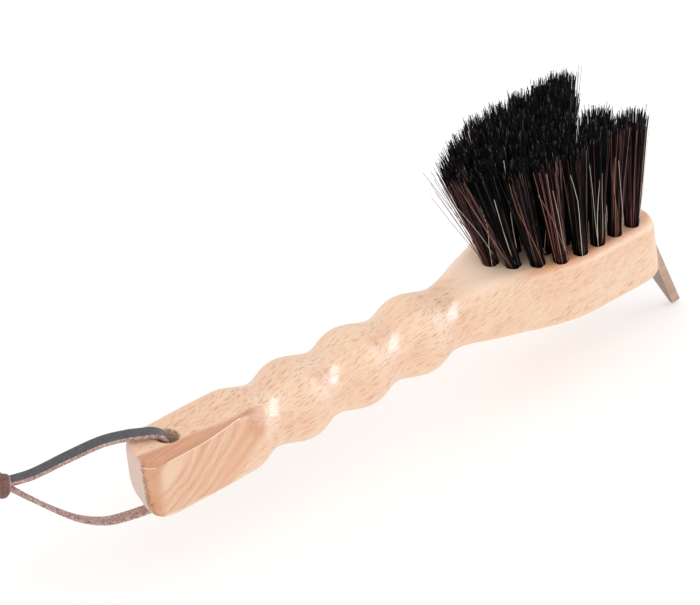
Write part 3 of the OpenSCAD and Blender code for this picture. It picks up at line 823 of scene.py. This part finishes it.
# ---- lace ------------------------------------------------------------------
# the loop seen from the side, as distance from the hole's axis and height: over the top, and below
LACE_UP = [
    (0, 0), (0, 5), (0.4, 8.4), (1.8, 10.1), (4, 10.9), (7, 11.1), (10.6, 11.2),
    (17, 10.5), (25.6, 7.6), (34.2, 4.3), (KNOT_X - 2.5, 3.3),
]
LACE_DOWN = [
    (0, -5), (0.4, -8.4), (1.9, -10.4), (4.2, -11.6), (10.6, -13), (16.2, -13.4),
    (22.2, -11.7), (27.8, -8.4), (34.2, -3.7), (KNOT_X - 2.5, 1),
]
# twist of the loop in degrees, evenly spaced from the knot over the top strand and back along the lower one
LACE_TWIST = (4, 14, 14, 6, 0, 0, 6, 18, 28)
KNOT_CORE, KNOT_TURNS, KNOT_CROWN = 1.55, 1.35, 0.7
CURVE_STEPS = 7


def curve_through(points, steps):
    """Catmull-Rom curve through a list of points."""
    p = np.array(points, float)
    out = []
    for i in range(len(p) - 1):
        a, b, c, d = p[max(0, i - 1)], p[i], p[i + 1], p[min(len(p) - 1, i + 2)]
        for s in range(steps):
            t = s / steps
            square, cube = 2 * a - 5 * b + 4 * c - d, 3 * b - a - 3 * c + d
            out.append(0.5 * (2 * b + (c - a) * t + square * t**2 + cube * t**3))
    out.append(p[-1])
    return np.array(out)


def strap(path, widths, sides, crown=0.0):
    """Sweeps the lace's flat section along a path, given its width and outward directions at each point."""
    w, t, ease = LACE_W, LACE_T, 0.28 * LACE_T
    sec = [(-1, -1), (-1, -0.5), (-1, 0), (-1, 0.5), (-1, 1), (-0.4, 1.04), (0.4, 1.04)]
    sec += [(1, 1), (1, 0.5), (1, 0), (1, -0.5), (1, -1), (0.4, -1.04), (-0.4, -1.04)]
    verts = []
    for p, wd, out in zip(path, widths, sides):
        for a, b in sec:
            corner = abs(a) == 1 and abs(b) == 1
            rise = crown * (1 - min(1.0, b * b)) - a * t / 2
            aside = b * w / 2 - (math.copysign(ease * 0.8, b) if corner else 0.0)
            verts.append(p + out * rise + wd * aside)
    n = len(sec)
    faces = tube_faces(len(path), n)
    # faces between the first five section points lie on the smooth outer side
    slots = [0 if j < 4 else 1 for i in range(len(path) - 1) for j in range(n)] + [1, 1]
    return verts, faces, slots


def swing(points):
    """From the loop's own plane (distance from the hole, across, height) to the row frame."""
    a = math.radians(180 - LACE_SWING)
    x, y, z = np.asarray(points, float).T
    return np.stack([x * math.cos(a) - y * math.sin(a), x * math.sin(a) + y * math.cos(a), z], 1)


def plane_strap(points, twist=None):
    """A strap whose middle line lies in the loop's own plane; a twist turns it about that line."""
    c = curve_through(points, CURVE_STEPS)
    h = np.gradient(c, axis=0)
    h /= np.linalg.norm(h, axis=1)[:, None]
    line = np.column_stack([c[:, 0], np.zeros(len(c)), c[:, 1]])
    out = np.column_stack([h[:, 1], np.zeros(len(c)), -h[:, 0]])
    wide = np.tile([0.0, 1.0, 0.0], (len(c), 1))
    if twist is not None:
        share, given = np.linspace(0, 1, len(c)), np.linspace(0, 1, len(twist))
        a = np.interp(share, given, np.radians(twist))[:, None]
        out, wide = out * np.cos(a) + wide * np.sin(a), wide * np.cos(a) - out * np.sin(a)
    return strap(line, wide, out)


def build_lace():
    """The loop through the hole, the wrap of its knot and the two loose ends, as one mesh."""
    verts, faces, slots = [], [], []

    def add(v, f, s):
        base = len(verts)
        verts.extend(swing(v))
        faces.extend([tuple(i + base for i in face) for face in f])
        slots.extend(s)

    add(*plane_strap(LACE_UP[::-1] + LACE_DOWN, twist=LACE_TWIST))
    # the wrap goes round both strands and a little along them
    turns = np.linspace(0, 2 * math.pi * KNOT_TURNS, 44)
    line = np.stack(
        [
            KNOT_X - 0.6 + 1.6 * turns / turns[-1],
            (KNOT_CORE + 0.35) * np.sin(turns),
            KNOT_Z + (KNOT_CORE + 0.55) * np.cos(turns),
        ],
        1,
    )
    out = np.stack([np.zeros(len(turns)), np.sin(turns), np.cos(turns)], 1)
    wide = np.tile([1.0, 0.0, 0.0], (len(turns), 1))
    v, f, s = strap(line, wide, out, KNOT_CROWN)
    # the wrap is worn: slot 2 outside in place of 0
    add(v, f, [2 - k for k in s])
    for side in (1, -1):
        ends = [
            (KNOT_X - 3.0, KNOT_Z + side * 0.8),
            (KNOT_X + 1.5, KNOT_Z + side * 0.9),
            (KNOT_X + 4.5, KNOT_Z + side * 1.5),
            (KNOT_X + 3.2 + LOOSE_L * 0.5, KNOT_Z + side * 4),
            (KNOT_X + 3.2 + LOOSE_L, KNOT_Z + side * 5 - 3),
        ]
        add(*plane_strap(ends))
    ob = make_mesh("lace_look", verts, faces, [lace_grain, lace_flesh, lace_worn], slots)
    face_outward(ob)
    ob.data.set_sharp_from_angle(angle=math.radians(SHARP_LACE))
    return ob


# ---- pick ------------------------------------------------------------------
PICK_BEVEL, PICK_BEVEL_STEPS = 0.5, 3


def build_pick():
    """The CAD's own pick with its flat faces merged and its edges rounded."""
    bm = bmesh.new()
    bm.from_mesh(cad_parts["pick"].data)
    bmesh.ops.remove_doubles(bm, verts=bm.verts, dist=1e-6)
    bmesh.ops.dissolve_limit(bm, angle_limit=math.radians(1), verts=bm.verts, edges=bm.edges)
    mesh = bpy.data.meshes.new("pick_look")
    bm.to_mesh(mesh)
    bm.free()
    mesh.materials.clear()
    mesh.materials.append(pick_steel)
    ob = bpy.data.objects.new("pick_look", mesh)
    bpy.context.scene.collection.objects.link(ob)
    bevel = ob.modifiers.new("edges", "BEVEL")
    bevel.width = PICK_BEVEL * MM
    bevel.segments = PICK_BEVEL_STEPS
    bevel.limit_method = "ANGLE"
    bevel.angle_limit = math.radians(30)
    mesh.polygons.foreach_set("use_smooth", [True] * len(mesh.polygons))
    return ob


# ---- pieces, and the CAD nodes and bodies they stand for --------------------
def stand_for(piece, node, body):
    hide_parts(node)
    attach(piece, body)


stand_for(build_wood(), "wood_body", "brush")
for row, (row_x, row_ys) in enumerate(tuft_rows(), 1):
    for letter, row_y in zip("abcde", row_ys):
        node = f"tuft_r{row}{letter}"
        stand_for(build_tuft(node, row, letter, row_x, row_y), node, "brush")
stand_for(build_pick(), "pick", "brush")
stand_for(build_lace(), "lace", "lace_loop")
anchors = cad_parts["tuft_anchors"]
anchors.data.materials.clear()
anchors.data.materials.append(staple_wire)

# ---- floor, light and camera ----------------------------------------------
FLOOR_GAP, FLOOR_HALF = 0.5, 3000.0
floor_z = cad_low[2] / MM - FLOOR_GAP
glow = {"Emission_Color": (1, 1, 1), "Emission_Strength": 0.15}
white = plain_material("studio_white", (0.9, 0.9, 0.9), 0.9, **glow)
floor_corners = [(a * FLOOR_HALF, b * FLOOR_HALF, floor_z) for a, b in ((-1, -1), (1, -1), (1, 1), (-1, 1))]
make_mesh("floor", floor_corners, [(0, 1, 2, 3)], [white])

scene = bpy.context.scene
world = bpy.data.worlds.new("studio")
scene.world = world
world.use_nodes = True
sky = world.node_tree.nodes["Background"]
sky.inputs["Color"].default_value = (1.0, 1.0, 1.0, 1.0)
sky.inputs["Strength"].default_value = 0.88
scene.view_settings.view_transform = "Standard"

TARGET = Vector((0.0626, 0.0, 0.0))
NECK = Vector((0.107, -0.002, 0.009))  # in front of the first tufts


def area_light(name, direction, distance, size, power, aim=TARGET, spread=180):
    """A soft light in metres and watts; the direction is from the aim towards the light."""
    data = bpy.data.lights.new(name, "AREA")
    data.shape = "RECTANGLE"
    data.size, data.size_y = size
    data.energy = power
    data.spread = math.radians(spread)
    ob = bpy.data.objects.new(name, data)
    d = Vector(direction).normalized()
    ob.location = aim + d * distance
    ob.rotation_euler = (-d).to_track_quat("-Z", "Y").to_euler()
    scene.collection.objects.link(ob)
    return ob


area_light("key", (-0.5, -0.7, 1.3), 1.2, (0.9, 0.9), 1.3)
fill = area_light("fill", (-0.80, -0.20, 0.56), 1.4, (0.9, 0.9), 1.8)
back_fill = area_light("back_fill", (0.80, -0.30, 0.60), 1.4, (0.9, 0.9), 1.8)
neck_fill = area_light("neck_fill", (-0.50, 0.25, 0.83), 0.11, (0.05, 0.05), 0.0021, NECK, 60)
# the fills lighten the shade without a highlight, and the glint makes only highlights
fill.visible_glossy = back_fill.visible_glossy = neck_fill.visible_glossy = False
neck_fill.visible_camera = False
glint = area_light("glint", (0.80, -0.41, 0.43), 1.2, (0.6, 1.2), 18.0)
glint.data.color = (0.80, 0.88, 1.0)
glint.visible_diffuse = False

cam_data = bpy.data.cameras.new("camera")
cam = bpy.data.objects.new("camera", cam_data)
scene.collection.objects.link(cam)
CAM_AZ, CAM_EL, CAM_D = math.radians(-44.06), math.radians(33.85), 1.832
back = Vector((math.sin(CAM_AZ) * math.cos(CAM_EL), -math.cos(CAM_AZ) * math.cos(CAM_EL), math.sin(CAM_EL)))
cam.location = TARGET + back * CAM_D
cam.rotation_euler = back.to_track_quat("Z", "Y").to_euler()
cam_data.sensor_width = 36.0
cam_data.lens = 371.9
cam_data.shift_x = 0.0019
cam_data.shift_y = 0.0946
cam_data.clip_start = 0.05
cam_data.clip_end = 50
scene.camera = cam
